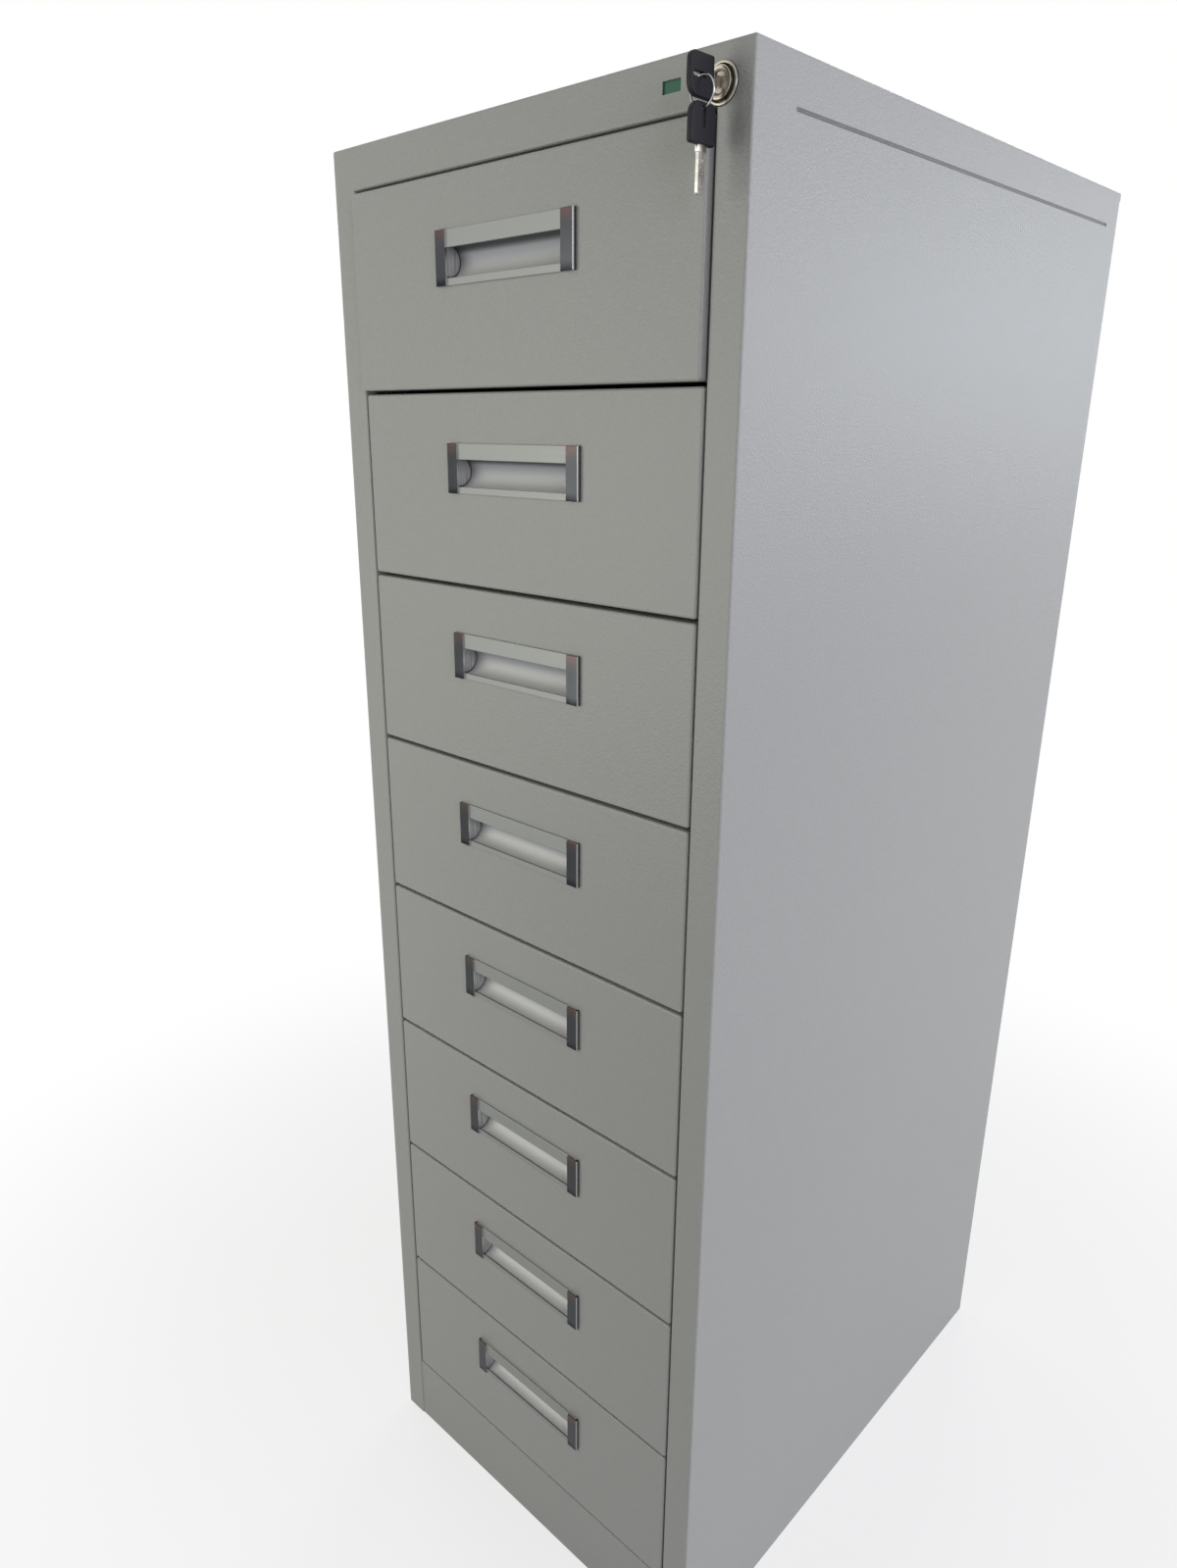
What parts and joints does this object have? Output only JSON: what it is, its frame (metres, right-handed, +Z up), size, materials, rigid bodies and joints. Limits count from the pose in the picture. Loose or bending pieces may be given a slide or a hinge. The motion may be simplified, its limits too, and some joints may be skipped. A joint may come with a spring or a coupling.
{
  "type": "microfilm storage cabinet",
  "caption": "Tall narrow steel cabinet for microfilm and microfiche: a stack of full-extension drawers with recessed pulls, and one lock with a status window.",
  "frame": {"origin": "centre of the case's footprint on the floor", "axes": "+Z up, +X to the user's right as they face the drawers, +Y from the drawer fronts to the back"},
  "size_m": [0.436, 0.6555, 1.384],
  "materials": {
    "case_paint": "warm grey powder coat with a fine orange-peel texture",
    "drawer_paint": "warm grey powder coat with a fine orange-peel texture",
    "tray_paint": "warm grey powder coat, smoother inside",
    "zinc_steel": "bright zinc plate",
    "screw_steel": "zinc plate",
    "satin_aluminium": "satin anodised extrusion",
    "chrome": "polished chrome plate",
    "nickel": "polished nickel plate",
    "guide_plastic": "natural nylon",
    "flag_green": "plastic strip, green with a red end",
    "black_plastic": "moulded black plastic head on a nickel-plated blade",
    "ring_steel": "bright steel wire"
  },
  "bodies": {
    "case": {"left_side_panel": "case_paint", "right_side_panel": "case_paint", "top_panel": "case_paint", "back_panel": "case_paint", "bottom_panel": "case_paint", "kick_plate": "case_paint", "base_frame": "case_paint", "slide_posts": "zinc_steel", "back_screws": "screw_steel", "outer_slides": "zinc_steel", "lock_housing": "nickel", "lock_nut": "nickel", "lock_guides": "guide_plastic"},
    "drawer_1": {"drawer_1_front": "drawer_paint", "drawer_1_tray": "tray_paint", "drawer_1_grip": "satin_aluminium", "drawer_1_grip_caps": "chrome"},
    "middle_slides_1": {"drawer_1_middle_slides": "zinc_steel"},
    "drawer_2": {"drawer_2_front": "drawer_paint", "drawer_2_tray": "tray_paint", "drawer_2_grip": "satin_aluminium", "drawer_2_grip_caps": "chrome"},
    "middle_slides_2": {"drawer_2_middle_slides": "zinc_steel"},
    "drawer_3": {"drawer_3_front": "drawer_paint", "drawer_3_tray": "tray_paint", "drawer_3_grip": "satin_aluminium", "drawer_3_grip_caps": "chrome"},
    "middle_slides_3": {"drawer_3_middle_slides": "zinc_steel"},
    "drawer_4": {"drawer_4_front": "drawer_paint", "drawer_4_tray": "tray_paint", "drawer_4_grip": "satin_aluminium", "drawer_4_grip_caps": "chrome"},
    "middle_slides_4": {"drawer_4_middle_slides": "zinc_steel"},
    "drawer_5": {"drawer_5_front": "drawer_paint", "drawer_5_tray": "tray_paint", "drawer_5_grip": "satin_aluminium", "drawer_5_grip_caps": "chrome"},
    "middle_slides_5": {"drawer_5_middle_slides": "zinc_steel"},
    "drawer_6": {"drawer_6_front": "drawer_paint", "drawer_6_tray": "tray_paint", "drawer_6_grip": "satin_aluminium", "drawer_6_grip_caps": "chrome"},
    "middle_slides_6": {"drawer_6_middle_slides": "zinc_steel"},
    "drawer_7": {"drawer_7_front": "drawer_paint", "drawer_7_tray": "tray_paint", "drawer_7_grip": "satin_aluminium", "drawer_7_grip_caps": "chrome"},
    "middle_slides_7": {"drawer_7_middle_slides": "zinc_steel"},
    "drawer_8": {"drawer_8_front": "drawer_paint", "drawer_8_tray": "tray_paint", "drawer_8_grip": "satin_aluminium", "drawer_8_grip_caps": "chrome"},
    "middle_slides_8": {"drawer_8_middle_slides": "zinc_steel"},
    "lock_plug": {"lock_plug": "nickel", "lock_cam": "nickel"},
    "lock_bar": {"lock_bar": "zinc_steel"},
    "status_flag": {"status_flag": "flag_green"},
    "lock_key": {"key_in_lock": "black_plastic"},
    "key_ring": {"key_ring": "ring_steel"},
    "spare_key": {"spare_key": "black_plastic"}
  },
  "joints": [
    {"name": "drawer_1_slide", "type": "slide", "parent": "case", "child": "drawer_1", "axis": [0, -1, 0], "range_m": [-0.005, 0.535]},
    {"name": "middle_slides_1_slide", "type": "slide", "parent": "case", "child": "middle_slides_1", "axis": [0, -1, 0], "range_m": [-0.0025, 0.2675]},
    {"name": "drawer_2_slide", "type": "slide", "parent": "case", "child": "drawer_2", "axis": [0, -1, 0], "range_m": [0, 0.54]},
    {"name": "middle_slides_2_slide", "type": "slide", "parent": "case", "child": "middle_slides_2", "axis": [0, -1, 0], "range_m": [0, 0.27]},
    {"name": "drawer_3_slide", "type": "slide", "parent": "case", "child": "drawer_3", "axis": [0, -1, 0], "range_m": [0, 0.54]},
    {"name": "middle_slides_3_slide", "type": "slide", "parent": "case", "child": "middle_slides_3", "axis": [0, -1, 0], "range_m": [0, 0.27]},
    {"name": "drawer_4_slide", "type": "slide", "parent": "case", "child": "drawer_4", "axis": [0, -1, 0], "range_m": [0, 0.54]},
    {"name": "middle_slides_4_slide", "type": "slide", "parent": "case", "child": "middle_slides_4", "axis": [0, -1, 0], "range_m": [0, 0.27]},
    {"name": "drawer_5_slide", "type": "slide", "parent": "case", "child": "drawer_5", "axis": [0, -1, 0], "range_m": [0, 0.54]},
    {"name": "middle_slides_5_slide", "type": "slide", "parent": "case", "child": "middle_slides_5", "axis": [0, -1, 0], "range_m": [0, 0.27]},
    {"name": "drawer_6_slide", "type": "slide", "parent": "case", "child": "drawer_6", "axis": [0, -1, 0], "range_m": [0, 0.54]},
    {"name": "middle_slides_6_slide", "type": "slide", "parent": "case", "child": "middle_slides_6", "axis": [0, -1, 0], "range_m": [0, 0.27]},
    {"name": "drawer_7_slide", "type": "slide", "parent": "case", "child": "drawer_7", "axis": [0, -1, 0], "range_m": [0, 0.54]},
    {"name": "middle_slides_7_slide", "type": "slide", "parent": "case", "child": "middle_slides_7", "axis": [0, -1, 0], "range_m": [0, 0.27]},
    {"name": "drawer_8_slide", "type": "slide", "parent": "case", "child": "drawer_8", "axis": [0, -1, 0], "range_m": [0, 0.54]},
    {"name": "middle_slides_8_slide", "type": "slide", "parent": "case", "child": "middle_slides_8", "axis": [0, -1, 0], "range_m": [0, 0.27]},
    {"name": "lock_turn", "type": "hinge", "parent": "case", "child": "lock_plug", "pos_m": [0.1936, -0.31, 1.3616], "axis": [0, -1, 0], "range_deg": [0, 90]},
    {"name": "lock_bar_lift", "type": "slide", "parent": "case", "child": "lock_bar", "axis": [0, 0, 1], "range_m": [0, 0.01556]},
    {"name": "status_flag_shift", "type": "slide", "parent": "case", "child": "status_flag", "axis": [-1, 0, 0], "range_m": [0, 0.01556]},
    {"name": "key_withdraw", "type": "slide", "parent": "lock_plug", "child": "lock_key", "axis": [0, -1, 0], "range_m": [0, 0.03]},
    {"name": "key_ring_swing", "type": "hinge", "parent": "lock_key", "child": "key_ring", "pos_m": [0.1936, -0.3314, 1.3615], "axis": [-1, 0, 0], "range_deg": [-8, 8]},
    {"name": "spare_key_round_ring", "type": "hinge", "parent": "key_ring", "child": "spare_key", "pos_m": [0.1956, -0.3314, 1.35303], "axis": [0, -1, 0], "range_deg": [-90, 0]}
  ],
  "couplings": [
    {"joint": "middle_slides_1_slide", "follows": "drawer_1_slide", "ratio": 0.5},
    {"joint": "middle_slides_2_slide", "follows": "drawer_2_slide", "ratio": 0.5},
    {"joint": "middle_slides_3_slide", "follows": "drawer_3_slide", "ratio": 0.5},
    {"joint": "middle_slides_4_slide", "follows": "drawer_4_slide", "ratio": 0.5},
    {"joint": "middle_slides_5_slide", "follows": "drawer_5_slide", "ratio": 0.5},
    {"joint": "middle_slides_6_slide", "follows": "drawer_6_slide", "ratio": 0.5},
    {"joint": "middle_slides_7_slide", "follows": "drawer_7_slide", "ratio": 0.5},
    {"joint": "middle_slides_8_slide", "follows": "drawer_8_slide", "ratio": 0.5},
    {"joint": "lock_turn", "follows": "lock_bar_lift", "rad_per_m": 100.98},
    {"joint": "status_flag_shift", "follows": "lock_bar_lift", "ratio": 1},
    {"joint": "spare_key_round_ring", "follows": "lock_bar_lift", "rad_per_m": -100.98}
  ]
}
